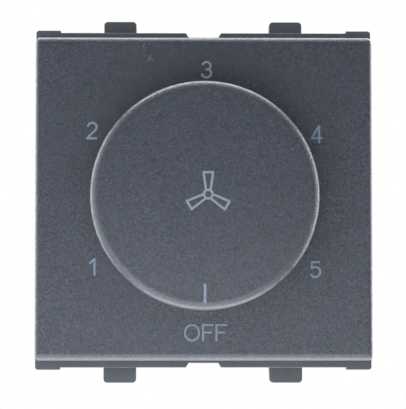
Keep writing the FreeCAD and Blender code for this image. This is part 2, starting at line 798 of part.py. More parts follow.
def make_rotor():
    """Spindle, detent hub, stop lug and rear pivot in one moulding, with its thrust washer."""
    piece = Piece("index_rotor")
    spindle_end = knob_inside + size.knob_front / 2 + size.knob_gap
    pivot_end = board_rear - size.running_gap * 4
    piece.turn([(spindle_end, 0), (spindle_end, size.spindle_radius), (hub_front, size.spindle_radius),
                (hub_front, size.hub_radius), (hub_rear, size.hub_radius), (hub_rear, size.disc_radius),
                (disc_rear, size.disc_radius), (disc_rear, size.pivot_radius), (pivot_end, size.pivot_radius),
                (pivot_end, 0)])
    flat = rectangle(-size.spindle_radius, size.spindle_radius, size.spindle_flat, size.spindle_radius * 2)
    piece.pocket("front", spindle_end, knob_hub_end + size.knob_hub_gap / 2, flat)
    lug = sector(size.disc_radius - size.hub_web, size.lug_radius, -SIZES["lug_half_angle"],
                 SIZES["lug_half_angle"])
    piece.pad("front", hub_rear, disc_rear, lug)
    reach = size.hub_radius
    piece.pocket("side", -reach, reach, circle(ball_level, 0, ball_bore))
    for up in (-1, 1):
        place = up * (size.wiper_disc + size.pivot_radius) / 2
        piece.pad("front", disc_rear, disc_rear + 2 * size.wiper_sheet, circle(0, place, size.peg_radius))
    washer = Piece("thrust_washer")
    washer.pad("front", wall_rear + size.running_gap, washer_rear, circle(0, 0, 2 * size.spindle_radius),
               circle(0, 0, bore_radius + size.ball_room))


def make_detent():
    """Notched ring, two balls, and the spring that pushes them apart."""
    ring = Piece("detent_ring")
    ring_rear = hub_rear - size.stop_step
    ring.pad("front", wall_rear, ring_rear, circle(0, 0, ring_radius), circle(0, 0, crest_radius))
    notch = ring.pocket("front", wall_rear, ring_rear, circle(notch_circle, 0, notch_radius))
    ring.repeat(notch, STEPS + 1)
    for letter, side in (("a", -1), ("b", 1)):
        keep(ball(f"ball_{letter}", (side * ball_rest, ball_level, 0), size.ball_radius),
             f"detent_ball_{letter}")
    length = 2 * (ball_rest.value - SIZES["ball_radius"])
    wire = SIZES["spring_wire"]
    coil = SIZES["ball_radius"] - SIZES["ball_room"] - wire / 2
    axial = length - wire
    path = Part.makeHelix(axial / SIZES["spring_turns"], axial, coil)
    section = Part.Wire(Part.makeCircle(wire / 2, Vector(coil, 0, 0), Vector(0, 1, 0)))
    spring = doc.addObject("Part::Feature", "spring")
    spring.Shape = Part.Wire(path).makePipeShell([section], True, True)
    spring.Placement = Placement(Vector(-axial / 2, ball_level.value, 0), ALONG["x"])
    keep(spring, "detent_spring")


def make_wiper():
    """Phosphor bronze disc with one arm to the step contacts and two to the common ring."""
    piece = Piece("wiper")
    sheet_gap = size.wiper_sheet
    front = disc_rear
    rear = front + sheet_gap
    middle_peg = (size.wiper_disc + size.pivot_radius) / 2
    peg_hole = size.peg_radius + size.running_gap
    piece.pad("front", front, rear, circle(0, 0, size.wiper_disc),
              circle(0, 0, size.pivot_radius + size.hole_room),
              circle(0, middle_peg, peg_hole), circle(0, -middle_peg, peg_hole))
    touch = contact_level - size.hole_room
    half = size.wiper_arm / 2
    root = -(size.wiper_disc - sheet_gap)
    near = -(size.contact_circle - sheet_gap * 2)
    end = -(size.contact_circle + sheet_gap * 3)
    arm = [(front, root), (rear, root), (touch, near), (touch - sheet_gap, end),
           (touch - 2 * sheet_gap, end), (touch - sheet_gap, near - sheet_gap)]
    piece.pad("side", -half, half, outline(arm))
    ring_touch = board_front - sheet_gap - size.hole_room
    ring_middle = (size.common_inner + size.common_outer) / 2
    for side in (-1, 1):
        outer = side * (size.wiper_disc + sheet_gap)
        inner = side * size.wiper_disc
        back = side * (ring_middle - sheet_gap)
        ahead = side * (ring_middle + sheet_gap)
        fold = rear + 2 * sheet_gap
        leaf = [(inner - side * sheet_gap, front), (outer, front), (outer, fold + sheet_gap),
                (ahead, ring_touch), (back, ring_touch), (back, ring_touch - sheet_gap),
                (ahead, ring_touch - sheet_gap), (inner, fold), (inner, rear),
                (inner - side * sheet_gap, rear)]
        piece.pad("top", -half / 2, half / 2, outline(leaf))


def make_contacts():
    """Rivet contacts at the five speeds and the common ring, all on the board's front face."""
    for step in range(1, STEPS + 1):
        x, z = polar(STEP_ANGLE * step, size.contact_circle)
        name = f"contact_{step}"
        head = rod(f"{name}_head", "y", contact_level, board_front, size.contact_head, x, z)
        shank = rod(f"{name}_shank", "y", board_front, board_rear, size.contact_shank, x, z)
        tail = rod(f"{name}_tail", "y", board_rear, board_rear + size.contact_tail,
                   size.contact_shank + size.wiper_sheet, x, z)
        keep(joined(name, [head, shank, tail]), f"step_contact_{step}")
    piece = Piece("common_contact")
    piece.pad("front", board_front - size.wiper_sheet, board_front, circle(0, 0, size.common_outer),
              circle(0, 0, size.common_inner))
    tab_ends = (board_front - size.wiper_sheet, board_rear + size.contact_tail)
    for side in (-1, 1):
        piece.pad("front", *tab_ends, common_tab(side, 0))


def common_tab(side, room):
    """A tab of the common ring, or with room the slot that takes it."""
    middle = side * (size.common_inner + size.common_outer) / 2
    half_height = size.contact_shank + room
    half_width = size.wiper_sheet / 2 + room
    return rectangle(-half_height, half_height, middle - half_width, middle + half_width)


# Film capacitors behind the board: width, height and depth of the case, and the height of its middle
CAPACITORS = {
    "small": (26.0, 8.0, 15.0, 13.2),
    "medium": (30.0, 8.6, 16.0, 4.4),
    "large": (30.0, 8.6, 16.0, -4.7),
}
LEAD_INSET = 1.8
# Bleed resistors in front of the board: middle across and middle up
BLEEDS = {1: (-7.0, 1), 2: (7.0, 1), 3: (0.0, -1)}
BLEED_INSET = 2.9
LEAD_STEP = 1.4
SURGE_INSET = 3.9


def lead_places():
    """Where each lead passes through the board."""
    places = []
    for width, _, _, middle in CAPACITORS.values():
        places += [(side * (width / 2 - LEAD_INSET), middle) for side in (-1, 1)]
    for across, up in BLEEDS.values():
        reach = size.bleed_length / 2 + LEAD_STEP
        places += [(across + side * reach, up * (inside_z - BLEED_INSET)) for side in (-1, 1)]
    reach = size.surge_length / 2 + LEAD_STEP
    places += [(inside_x - SURGE_INSET, side * reach) for side in (-1, 1)]
    return places


def make_board():
    """Board held between the housing's posts and the cover's columns, with a hole for all it carries."""
    piece = Piece("circuit_board")
    board_x = inside_x - size.board_gap
    board_z = inside_z - size.board_gap
    piece.pad("front", board_front, board_rear, rectangle(-board_x, board_x, -board_z, board_z))
    holes = [circle(x, z, size.screw_radius + 2 * size.screw_room) for x, z in corners]
    holes.append(circle(0, 0, size.pivot_radius + size.hole_room))
    rivet_hole = size.contact_shank + size.running_gap
    for step in range(1, STEPS + 1):
        holes.append(circle(*polar(STEP_ANGLE * step, size.contact_circle), rivet_hole))
    holes += [common_tab(side, size.running_gap) for side in (-1, 1)]
    holes += [circle(x, z, size.lead_radius + size.hole_room) for x, z in lead_places()]
    for side in POLES.values():
        middle = side * size.pole_pitch / 2
        half = size.bar_width / 2 + size.hole_room
        low, high = bar_leg()
        holes.append(rectangle(middle - half, middle + half, low - size.hole_room, high + size.hole_room))
    piece.pocket("front", board_front, board_rear, *holes)


def make_capacitors():
    """Film capacitors in plain cases, each standing off the board on its two leads."""
    for name, (width, height, depth, middle) in CAPACITORS.items():
        piece = Piece(f"capacitor_{name}")
        front = board_rear + size.case_standoff
        half = width / 2
        piece.pad("front", front, front + depth,
                  rectangle(-half, half, middle - height / 2, middle + height / 2))
        piece.round_edges(0.6, lambda edge: edge.BoundBox.YLength < 1e-4
                          and abs(edge.BoundBox.YMax - front.value - depth) < 1e-4)
        tail = board_front - size.lead_tail
        for side in (-1, 1):
            lead = circle(side * (half - LEAD_INSET), middle, size.lead_radius)
            piece.pad("front", tail, front, lead)


def make_resistors():
    """Round resistors in front of the board, each on two bent leads."""
    tail = board_rear + size.contact_tail
    for number, (across, up) in BLEEDS.items():
        name = f"bleed_{number}"
        z = up * (inside_z - BLEED_INSET)
        y = board_front - size.case_standoff - size.bleed_radius
        half = size.bleed_length / 2
        reach = half + LEAD_STEP
        body = rod(f"{name}_body", "x", across - half, across + half, size.bleed_radius, y, z)
        wire = rod(f"{name}_wire", "x", across - reach, across + reach, size.lead_radius, y, z)
        legs = [rod(f"{name}_leg_{side}", "y", y, tail, size.lead_radius, across + side * reach, z)
                for side in (-1, 1)]
        bends = [ball(f"{name}_bend_{side}", (across + side * reach, y, z), size.lead_radius)
                 for side in (-1, 1)]
        keep(joined(name, [body, wire] + legs + bends), f"bleed_resistor_{number}")
    x = inside_x - SURGE_INSET
    y = board_front - size.case_standoff - size.surge_radius
    half = size.surge_length / 2
    reach = half + LEAD_STEP
    body = rod("surge_body", "z", -half, half, size.surge_radius, x, y)
    wire = rod("surge_wire", "z", -reach, reach, size.lead_radius, x, y)
    legs = [rod(f"surge_leg_{side}", "y", y, tail, size.lead_radius, x, side * reach) for side in (-1, 1)]
    bends = [ball(f"surge_bend_{side}", (x, y, side * reach), size.lead_radius) for side in (-1, 1)]
    keep(joined("surge", [body, wire] + legs + bends), "surge_resistor")


def bar_leg():
    """Low and high ends along Z of the leg that joins a terminal bar to the board."""
    return (chamber_high - 6 * size.cage_gap - size.bar_thickness, chamber_high - 6 * size.cage_gap)


def make_terminals():
    """Terminal block with two rising-cage clamps, each with its bar, cage and screw."""
    piece = Piece("terminal_block")
    block_front = board_rear + size.block_front
    upper = rectangle(-size.block_half, size.block_half, -inside_z + 2 * size.lip_gap, -size.block_top)
    piece.pad("front", block_front, block_rear, upper)
    lower = rectangle(-size.block_half, size.block_half, block_floor, -size.block_top)
    piece.pad("front", housing_rear + size.block_gap, block_rear, lower)
    for pole, side in POLES.items():
        middle = side * size.pole_pitch / 2
        half = size.chamber_half
        chamber = rectangle(middle - half, middle + half, chamber_low, chamber_high)
        piece.pocket("front", block_front, chamber_rear, chamber)
        piece.pocket("top", block_floor, chamber_low, circle(middle, wire_y, size.wire_radius))
        piece.pocket("front", chamber_rear, head_bore_front,
                     circle(middle, screw_z, size.clamp_radius + size.clamp_room))
        piece.pocket("front", head_bore_front, head_bore_rear,
                     circle(middle, screw_z, size.clamp_head + size.cage_gap))
        piece.pocket("front", head_bore_rear, block_rear, circle(middle, screw_z, size.clamp_access))
        make_clamp(pole, middle)
    piece.round_edges(size.cover_edge, lambda edge: lies_at(edge, "y", block_rear.value)
                      and lies_at(edge, "z", block_floor.value))


def make_clamp(pole, middle):
    """Bar, rising cage and captive screw of one pole."""
    low, high = bar_leg()
    half = size.bar_width / 2
    across = (middle - half, middle + half)
    plate = block(f"bar_plate_{pole}", across, (bar_y, bar_y + size.bar_thickness), (cage_low, high))
    leg_ends = (board_front - size.lead_tail, bar_y + size.bar_thickness)
    leg = block(f"bar_leg_{pole}", across, leg_ends, (low, high))
    keep(joined(f"bar_{pole}", [plate, leg]), f"terminal_bar_{pole}")

    cage = Piece(f"clamp_cage_{pole}")
    outer = size.chamber_half - size.cage_gap
    inner = outer - size.cage_side
    window_front, window_rear = cage_window
    cage_rear = window_rear + size.cage_thread_wall
    cage.pad("top", cage_low, cage_low + size.cage_height,
             rectangle(middle - outer, middle + outer, cage_front, cage_rear),
             rectangle(middle - inner, middle + inner, window_front, window_rear))
    thread = circle(middle, screw_z, size.clamp_radius + size.running_gap)
    cage.pocket("front", window_rear, cage_rear, thread)

    head_front = head_bore_front + size.cage_gap
    head_rear = head_front + size.clamp_head_height
    shank = rod(f"shank_{pole}", "y", screw_tip, head_front, size.clamp_radius, middle, screw_z)
    head = rod(f"head_{pole}", "y", head_front, head_rear, size.clamp_head, middle, screw_z)
    slot_half = size.clamp_slot / 2
    slot = block(f"slot_{pole}", (middle - size.clamp_head, middle + size.clamp_head),
                 (head_rear - 2 * size.clamp_slot, head_rear), (screw_z - slot_half, screw_z + slot_half))
    keep(cut(f"screw_{pole}", joined(f"blank_{pole}", [shank, head]), [slot]), f"clamp_screw_{pole}")


make_front_housing()
make_rear_cover()
make_cover_screws()
make_face_plate()
make_dial_knob()
make_rotor()
make_detent()
make_wiper()
make_contacts()
make_board()
make_capacitors()
make_resistors()
make_terminals()
doc.recompute()

faults = [item.Label for item in doc.Objects if {"Invalid", "Error"} & set(item.State)]
faults += [part.Label for part in parts if part.Shape.isNull() or not part.Shape.isValid()]
if faults:
    raise RuntimeError(f"not built: {faults}")
os.makedirs("parts", exist_ok=True)
for part in parts:
    part.Shape.exportStep(f"parts/{part.Label}.step")
    print(part.Label, len(part.Shape.Solids), "solid,", round(part.Shape.Volume, 2), "cubic millimetres")
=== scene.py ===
"""Looks of a two-module fan speed switch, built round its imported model. Lengths are in metres."""
import math

import bmesh
import bpy
from mathutils import Matrix, Vector
from mathutils.bvhtree import BVHTree
from mathutils.geometry import delaunay_2d_cdt


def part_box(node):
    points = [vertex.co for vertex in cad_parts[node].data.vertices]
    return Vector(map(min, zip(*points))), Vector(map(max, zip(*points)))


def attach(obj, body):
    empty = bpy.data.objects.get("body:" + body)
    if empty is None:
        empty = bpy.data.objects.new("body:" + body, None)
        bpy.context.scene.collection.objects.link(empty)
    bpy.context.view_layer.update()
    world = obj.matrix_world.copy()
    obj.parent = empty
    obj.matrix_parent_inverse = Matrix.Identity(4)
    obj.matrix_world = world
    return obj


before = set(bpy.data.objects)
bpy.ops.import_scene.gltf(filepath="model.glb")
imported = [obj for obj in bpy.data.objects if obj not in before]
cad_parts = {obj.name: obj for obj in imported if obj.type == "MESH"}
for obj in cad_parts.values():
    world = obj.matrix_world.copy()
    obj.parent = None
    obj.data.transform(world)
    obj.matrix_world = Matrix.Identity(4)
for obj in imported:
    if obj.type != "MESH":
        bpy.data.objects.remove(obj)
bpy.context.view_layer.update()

# Carrier: the flange with its corner blocks and notches, the box walls and the four snap latches.
# One polycarbonate moulding, with the fine matt of a spark-eroded mould and edges a little lighter in
# patches.

MM = 0.001


class Tone:
    """A value that varies over a finish. Sums and products of it add the Math nodes that work it out."""

    def __init__(self, tree, socket=None):
        self.tree = tree
        self.socket = socket

    def node(self, kind, settings=None, feeds=None, output=0):
        """Adds any other node: its settings first, then what goes into its sockets."""
        made = self.tree.nodes.new(kind)
        for name, value in (settings or {}).items():
            if name == "stops":
                for stop, (place, colour) in zip(made.color_ramp.elements, value):
                    stop.position = place
                    stop.color = colour
            else:
                setattr(made, name, value)
        self.feed(made, feeds or {})
        return Tone(self.tree, made.outputs[output])

    def feed(self, made, feeds):
        """Links or sets the sockets of a node."""
        for name, value in feeds.items():
            if isinstance(value, Tone):
                self.tree.links.new(value.socket, made.inputs[name])
            else:
                made.inputs[name].default_value = value

    def worked(self, operation, first, second=0.0):
        """Adds one Math node."""
        return self.node("ShaderNodeMath", {"operation": operation}, {0: first, 1: second})

    def __add__(self, other):
        return self.worked("ADD", self, other)

    __radd__ = __add__

    def __sub__(self, other):
        return self.worked("SUBTRACT", self, other)

    def __rsub__(self, other):
        return self.worked("SUBTRACT", other, self)

    def __mul__(self, other):
        return self.worked("MULTIPLY", self, other)

    __rmul__ = __mul__

    def __abs__(self):
        return self.worked("ABSOLUTE", self)

    def between(self, low, high):
        """0 below low, 1 above high, and a smooth rise from one to the other."""
        return self.node("ShaderNodeMapRange", {"interpolation_type": "SMOOTHSTEP"},
                         {"Value": self, "From Min": low, "From Max": high})

    def mixed(self, first, second, way="MIX"):
        """Colour that goes from the first to the second as this value goes from 0 to 1."""
        return self.node("ShaderNodeMix", {"data_type": "RGBA", "blend_type": way},
                         {0: self, 6: first, 7: second}, output=2)

    def noise(self, size, detail=2.0, rough=0.5, stretch=None):
        """Cloudy variation with blotches of the given size in metres."""
        spots = self
        if stretch:
            spots = self.node("ShaderNodeMapping", {}, {"Vector": self, "Scale": stretch})
        return self.node("ShaderNodeTexNoise", {},
                         {"Vector": spots, "Scale": 1 / size, "Detail": detail, "Roughness": rough})

    def cells(self, size, channel):
        """A random value for each grain of the given size in metres."""
        grains = self.node("ShaderNodeTexVoronoi", {}, {"Vector": self, "Scale": 1 / size}, output="Color")
        return self.node("ShaderNodeSeparateColor", {}, {0: grains}, output=channel)

    def bump(self, height, strength, under=None):
        """Surface relief of the given height in metres."""
        feeds = {"Height": self, "Distance": height, "Strength": strength}
        if under:
            feeds["Normal"] = under
        return self.node("ShaderNodeBump", {}, feeds, output="Normal")


def finish(name):
    """Starts a finish. Gives its material and the place on the object that its textures follow."""
    material = bpy.data.materials.new(name)
    material.use_nodes = True
    place = Tone(material.node_tree).node("ShaderNodeTexCoord", output="Object")
    return material, place


def surface(material, **sockets):
    """Sets the sockets of a finish's shader. Underscores stand for the spaces in their names."""
    shader = material.node_tree.nodes["Principled BSDF"]
    feeds = {name.replace("_", " "): value for name, value in sockets.items()}
    Tone(material.node_tree).feed(shader, feeds)


def edge_band(place, reach):
    """1 along outer and inner edges, and 0 away from them."""
    rounded = place.node("ShaderNodeBevel", {"samples": 4}, {"Radius": reach})
    facing = place.node("ShaderNodeNewGeometry", output="Normal")
    same = place.node("ShaderNodeVectorMath", {"operation": "DOT_PRODUCT"}, {0: rounded, 1: facing},
                      output="Value")
    return (1 - same).between(0.004, 0.12)


def moulded(name, colour, gloss, grain):
    """Matt moulded plastic: mould grain, faint flow marks, and edges a little lighter in patches."""
    material, place = finish(name)
    flow = place.noise(9 * MM, 3.0, 0.6, stretch=(1.0, 0.5, 1.0))
    spark = place.noise(grain, 4.0, 0.65)
    # Base colour a little lighter along edges, in patches.
    lighter_edge = edge_band(place, 0.22 * MM) * place.noise(1.5 * MM, 3.0).between(0.3, 0.75)
    lighter = tuple(min(1.0, 1.9 * part + 0.02) for part in colour[:3]) + (1.0,)
    darker = tuple(0.86 * part for part in colour[:3]) + (1.0,)
    body = flow.between(0.3, 0.7).mixed(darker, colour)
    body = (spark.between(0.35, 0.7) * 0.22).mixed(body, lighter)
    surface(material, Base_Color=(lighter_edge * 0.55).mixed(body, lighter),
            Roughness=gloss + 0.16 * (spark - 0.5) - 0.10 * lighter_edge,
            Normal=flow.bump(0.05 * MM, 0.1, spark.bump(0.012 * MM, 0.5)), IOR=1.50)
    return material


SAME_POINT = 2e-7
EDGE_FROM = 35
FLAT_WEIGHT = 90


def soften(piece, radius, flat_within):
    """Rounds a moulded or cut piece's edges, as the real ones are, and keeps its flats flat."""
    weld = piece.modifiers.new("joined_faces", "WELD")
    weld.merge_threshold = SAME_POINT
    flats = piece.modifiers.new("whole_flats", "DECIMATE")
    flats.decimate_type = "DISSOLVE"
    flats.angle_limit = math.radians(flat_within)
    if radius:
        rounding = piece.modifiers.new("edge_radius", "BEVEL")
        rounding.width = radius
        rounding.segments = 2
        rounding.limit_method = "ANGLE"
        rounding.angle_limit = math.radians(EDGE_FROM)
        rounding.use_clamp_overlap = False
        rounding.harden_normals = True
    shading = piece.modifiers.new("flat_shading", "WEIGHTED_NORMAL")
    shading.mode = "FACE_AREA"
    shading.weight = FLAT_WEIGHT
    shading.keep_sharp = True


def dress(names, material, radius, flat_within=0.4):
    """Gives CAD nodes their finish and softened edges. Faces within the angle are one flat."""
    for name in names:
        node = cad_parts[name]
        node.data.materials.clear()
        node.data.materials.append(material)
        for face in node.data.polygons:
            face.use_smooth = True
        soften(node, radius, flat_within)


carrier_plastic = moulded("carrier_plastic", (0.062, 0.072, 0.088, 1), 0.52, 0.28 * MM)
dress(["front_housing"], carrier_plastic, 0.10 * MM)

# Detent ring and thrust washer: natural nylon mouldings, pressed into the carrier and slid on the spindle.
# The rotor with its spindle is white acetal, waxy and smooth.


def waxy(name, colour, gloss):
    """Unpainted engineering plastic: even, slightly cloudy, and smooth."""
    material, place = finish(name)
    cloud = place.noise(3 * MM, 3.0, 0.6)
    shade = tuple(0.88 * part for part in colour[:3]) + (1.0,)
    surface(material, Base_Color=cloud.between(0.3, 0.7).mixed(shade, colour),
            Roughness=gloss + 0.12 * (place.noise(0.5 * MM) - 0.5),
            Normal=cloud.bump(0.03 * MM, 0.2), IOR=1.48)
    return material


dress(["detent_ring", "thrust_washer"], waxy("nylon", (0.66, 0.62, 0.52, 1), 0.42), 0.06 * MM)
dress(["index_rotor"], waxy("acetal", (0.78, 0.77, 0.72, 1), 0.3), 0.06 * MM)

# Two bearing balls and the spring that pushes them apart in the rotor's hub, and other bright steel:
# the knob's grip ring, the cover screws, and the clamp cages and screws, all zinc plated.


def metal(name, colour, dull, gloss, brushed):
    """Plated or bare metal with draw lines, slight tarnish, and edges worn bright."""
    material, place = finish(name)
    tarnish = place.noise(2.5 * MM, 4.0, 0.6).between(0.4, 0.75)
    lines = place.noise(0.25 * MM, 3.0, 0.7, stretch=brushed)
    lighter_edge = edge_band(place, 0.12 * MM)
    tone = (tarnish * 0.6).mixed(colour, dull)
    bright = tuple(min(1, 1.2 * part) for part in colour)
    surface(material, Base_Color=(lighter_edge * 0.4).mixed(tone, bright),
            Metallic=1.0, Roughness=gloss + 0.18 * tarnish + 0.15 * (lines - 0.5),
            Normal=lines.bump(0.01 * MM, 0.25))
    return material


steel = metal("zinc_plate", (0.62, 0.63, 0.62, 1), (0.42, 0.43, 0.42, 1), 0.26, (1, 6, 1))
dress(["detent_ball_a", "detent_ball_b", "detent_spring"], steel, 0)

# Wiper: phosphor bronze spring sheet on the back of the rotor, which carries the live side from contact to
# contact. The contacts are brass rivets and a brass ring staked through the board.

bronze = metal("phosphor_bronze", (0.72, 0.46, 0.28, 1), (0.45, 0.27, 0.17, 1), 0.3, (6, 1, 1))
brass = metal("brass", (0.80, 0.62, 0.30, 1), (0.55, 0.42, 0.2, 1), 0.28, (6, 1, 1))
dress(["wiper"], bronze, 0.04 * MM)
dress(["common_contact"] + [f"step_contact_{step}" for step in range(1, 6)], brass, 0.04 * MM)

# Circuit board: punched paper laminate, brown and faintly fibrous. The carrier's four posts and the rear
# cover's columns hold it between them.

laminate, place = finish("paper_laminate")
fibres = place.noise(0.6 * MM, 5.0, 0.7, stretch=(1, 1, 5))
patches = place.noise(6 * MM)
browned = fibres.between(0.3, 0.7) * 0.7 + 0.3 * patches
surface(laminate, Base_Color=browned.mixed((0.24, 0.17, 0.075, 1), (0.42, 0.32, 0.16, 1)),
        Roughness=0.5 + 0.2 * (fibres - 0.5), Normal=fibres.bump(0.02 * MM, 0.3))
dress(["circuit_board"], laminate, 0.04 * MM)

# Speed capacitors: three film capacitors in smooth amber cases, dipped and baked. Each stands on two leads
# that pass through the board.

cases, place = finish("capacitor_case")
dip = place.noise(4 * MM, 2.0)
speck = place.cells(0.3 * MM, "Red").between(0.9, 1.0)
amber = dip.between(0.3, 0.7).mixed((0.62, 0.38, 0.05, 1), (0.80, 0.55, 0.10, 1))
surface(cases, Base_Color=(speck * 0.3).mixed(amber, (0.35, 0.2, 0.04, 1)), Roughness=0.22 + 0.15 * dip,
        Coat_Weight=0.5, Normal=dip.bump(0.15 * MM, 0.3))
dress([f"capacitor_{size}" for size in ("small", "medium", "large")], cases, 0.08 * MM)

# Bleed and surge resistors: ceramic rods under a sandy lacquer, with crimped ends. Their leads are bent
# down through the board.

lacquer, place = finish("resistor_lacquer")
coat = place.noise(0.8 * MM, 3.0)
surface(lacquer, Base_Color=coat.between(0.3, 0.7).mixed((0.50, 0.38, 0.22, 1), (0.62, 0.50, 0.33, 1)),
        Roughness=0.38 + 0.2 * (coat - 0.5), Normal=coat.bump(0.06 * MM, 0.4))
dress([f"bleed_resistor_{number}" for number in range(1, 4)] + ["surge_resistor"], lacquer, 0)

# Terminals: a black block with two chambers, brass bars from the board, and a steel cage in each chamber
# that its screw lifts against the bar to grip the wire.

terminal_plastic = moulded("terminal_plastic", (0.034, 0.036, 0.041, 1), 0.4, 0.35 * MM)
dress(["terminal_block"], terminal_plastic, 0.08 * MM)
for pole in ("line", "fan"):
    dress([f"terminal_bar_{pole}"], brass, 0.05 * MM)
    dress([f"clamp_cage_{pole}", f"clamp_screw_{pole}"], steel, 0.06 * MM)

# Rear cover: the back shell with its vents and screw columns, in the carrier's plastic, and the four
# self-tapping screws that hold it.

cover_plastic = moulded("cover_plastic", (0.056, 0.063, 0.076, 1), 0.54, 0.32 * MM)
dress(["rear_cover"], cover_plastic, 0.12 * MM)
dress(["cover_screws"], steel, 0.05 * MM)

# Face plate: moulded, then sprayed with a graphite metallic lacquer whose fine flakes glitter and lean
# now to violet, now to green. It clips over the carrier's flange.


def flakes_lean(place, size, lean):
    """Surface directions of metal flakes that lie at slightly different slants, so that they glitter."""
    grains = place.node("ShaderNodeTexVoronoi", {}, {"Vector": place, "Scale": 1 / size}, output="Color")
    slant = place.node("ShaderNodeVectorMath", {"operation": "SUBTRACT"}, {0: grains, 1: (0.5, 0.5, 0.5)},
                       output="Vector")
    facing = place.node("ShaderNodeNewGeometry", output="Normal")
    leaning = place.node("ShaderNodeVectorMath", {"operation": "MULTIPLY_ADD"},
                         {0: slant, 1: (lean, lean, lean), 2: facing}, output="Vector")
    return place.node("ShaderNodeVectorMath", {"operation": "NORMALIZE"}, {0: leaning}, output="Vector")


def scratch(place, x, z, length, width, slant):
    """1 along one short scratch and 0 elsewhere. Its middle and sizes are in millimetres."""
    along = place.node("ShaderNodeMapping", {"vector_type": "TEXTURE"},
                       {"Vector": place, "Location": (x * MM, 0, z * MM),
                        "Rotation": (0, math.radians(slant), 0),
                        "Scale": (length / 2 * MM, 1, width / 2 * MM)})
    reach = abs(place.node("ShaderNodeSeparateXYZ", {}, {0: along}, output="X"))
    aside = abs(place.node("ShaderNodeSeparateXYZ", {}, {0: along}, output="Z"))
    return (1 - reach).between(0.0, 0.5) * (1 - aside).between(0.0, 0.8)


def sprayed(name):
    """Graphite metallic lacquer over smooth plastic, with three fine scratches near the plate's top edge."""
    material, place = finish(name)
    flake = place.cells(0.13 * MM, "Red")
    lean = place.cells(0.22 * MM, "Green")
    mist = place.noise(0.22 * MM, 2.0, 0.6)
    drift = place.noise(1.3 * MM, 2.0).between(0.36, 0.64)
    wide = place.noise(14 * MM, 2.0)
    # Base colour a little lighter along edges, in patches.
    lighter_edge = edge_band(place, 0.2 * MM) * place.noise(0.9 * MM, 3.0).between(0.35, 0.8)
    marks = (scratch(place, -8.0, 20.35, 0.75, 0.10, -62) + scratch(place, -7.25, 18.68, 1.25, 0.13, -60)
             + scratch(place, -6.95, 18.45, 0.8, 0.11, 35))
    hue = (0.45 * lean + 0.55 * drift).mixed((0.0374, 0.0514, 0.0675, 1), (0.0465, 0.0485, 0.0715, 1))
    tone = 0.34 + 0.70 * flake + 0.50 * mist + 0.12 * wide
    paint = place.node("ShaderNodeMix", {"data_type": "RGBA", "blend_type": "MULTIPLY"},
                       {0: 1.0, 6: hue, 7: tone}, output=2)
    paint_lighter_edges = (lighter_edge * 0.35).mixed(paint, (0.30, 0.32, 0.36, 1))
    surface(material, Base_Color=(marks * 0.55).mixed(paint_lighter_edges, (0.34, 0.35, 0.38, 1)),
            Metallic=0.45, Roughness=0.48 + 0.16 * (flake - 0.5) + 0.08 * (drift - 0.5),
            Coat_Weight=0.45, Coat_Roughness=0.34, Coat_IOR=1.7,
            Normal=mist.bump(0.006 * MM, 0.2, flakes_lean(place, 0.13 * MM, 0.42)), IOR=1.5)
    return material


lacquer_paint = sprayed("graphite_lacquer")
dress(["face_plate"], lacquer_paint, 0.05 * MM)

# Knob: the same lacquer on a round cap with a slightly crowned face, which presses onto the spindle, and
# the sprung steel ring round its hub that grips there.

dress(["dial_knob"], lacquer_paint, 0.05 * MM, flat_within=0.02)
dress(["knob_grip_ring"], steel, 0.05 * MM)

# Print: OFF and the five speeds on the plate, the fan mark and pointer line on the knob, pad printed in
# a blue-grey ink that stands nearly a hundredth of a millimetre proud. Its sizes are in millimetres.

STROKE = 0.27
THIN = 0.25
LONGEST_STEP = 0.4
ARC_STEP = 7
INK_FILM = 0.009
INK_ROOT = 0.004


def printing_face(node):
    """Gives how far back the face that takes the print lies, under a place in metres."""
    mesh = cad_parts[node].data
    faces = BVHTree.FromPolygons([corner.co for corner in mesh.vertices],
                                 [face.vertices for face in mesh.polygons])
    in_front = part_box(node)[0].y - 10 * MM
    return lambda x, z: faces.ray_cast(Vector((x, in_front, z)), Vector((0, 1, 0)))[0].y


def arc(x, z, across, up, start, end):
    """Points along part of an ellipse, in millimetres and degrees."""
    steps = max(2, round(abs(end - start) / ARC_STEP))
    turns = [math.radians(start + (end - start) * step / steps) for step in range(steps + 1)]
    return [(x + across * math.cos(turn), z + up * math.sin(turn)) for turn in turns]


def stroke(line, width=STROKE):
    """Outline of a printed stroke along a line of points, in millimetres, in short steps."""
    spine = line[:1]
    for start, end in zip(line, line[1:]):
        start, end = Vector(start), Vector(end)
        steps = math.ceil((end - start).length / LONGEST_STEP)
        spine += [start.lerp(end, step / steps) for step in range(1, steps + 1)]
    sides = []
    for before, point, after in zip(spine[:1] + spine[:-1], spine, spine[1:] + spine[-1:]):
        along = Vector((after[0] - before[0], after[1] - before[1])).normalized()
        sides.append((Vector(point), Vector((-along.y, along.x)) * width / 2))
    return [point - side for point, side in sides] + [point + side for point, side in reversed(sides)]


def ring(x, z, across, up, width=STROKE):
    """A closed printed ring, as two halves that overlap."""
    return [stroke(arc(x, z, across, up, 0, 190), width), stroke(arc(x, z, across, up, 180, 370), width)]


